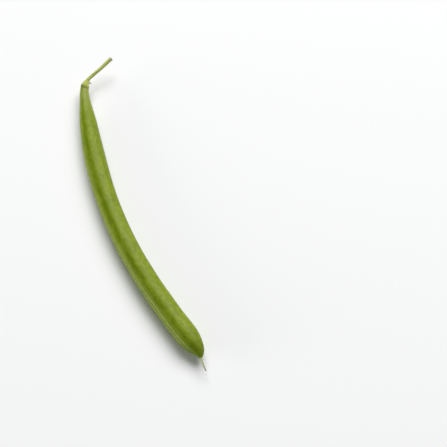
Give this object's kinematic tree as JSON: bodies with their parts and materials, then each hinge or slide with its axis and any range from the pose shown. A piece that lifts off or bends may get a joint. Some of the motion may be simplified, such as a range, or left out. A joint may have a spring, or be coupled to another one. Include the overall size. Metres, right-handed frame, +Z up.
{
  "type": "green bean",
  "caption": "Whole fresh green bean, gently bent sideways, with a seamed pod, thin beak, small lobed calyx and bent stalk, lying on its side.",
  "frame": {"origin": "on the surface that the bean lies on, under the middle of its bounding box", "axes": "+X along the bean's length from the stalk to the beak; +Y towards the hollow side of its sideways bend; +Z up"},
  "size_m": [0.148, 0.0282, 0.0081],
  "materials": {
    "pod_skin": "satin",
    "calyx_skin": "matte",
    "stalk_skin": "satin",
    "bracteole_skin": "matte"
  },
  "bodies": {
    "root": {"pod": "pod_skin", "calyx": "calyx_skin", "stalk": "stalk_skin", "bracteole_inner": "bracteole_skin", "bracteole_outer": "bracteole_skin"}
  },
  "joints": []
}
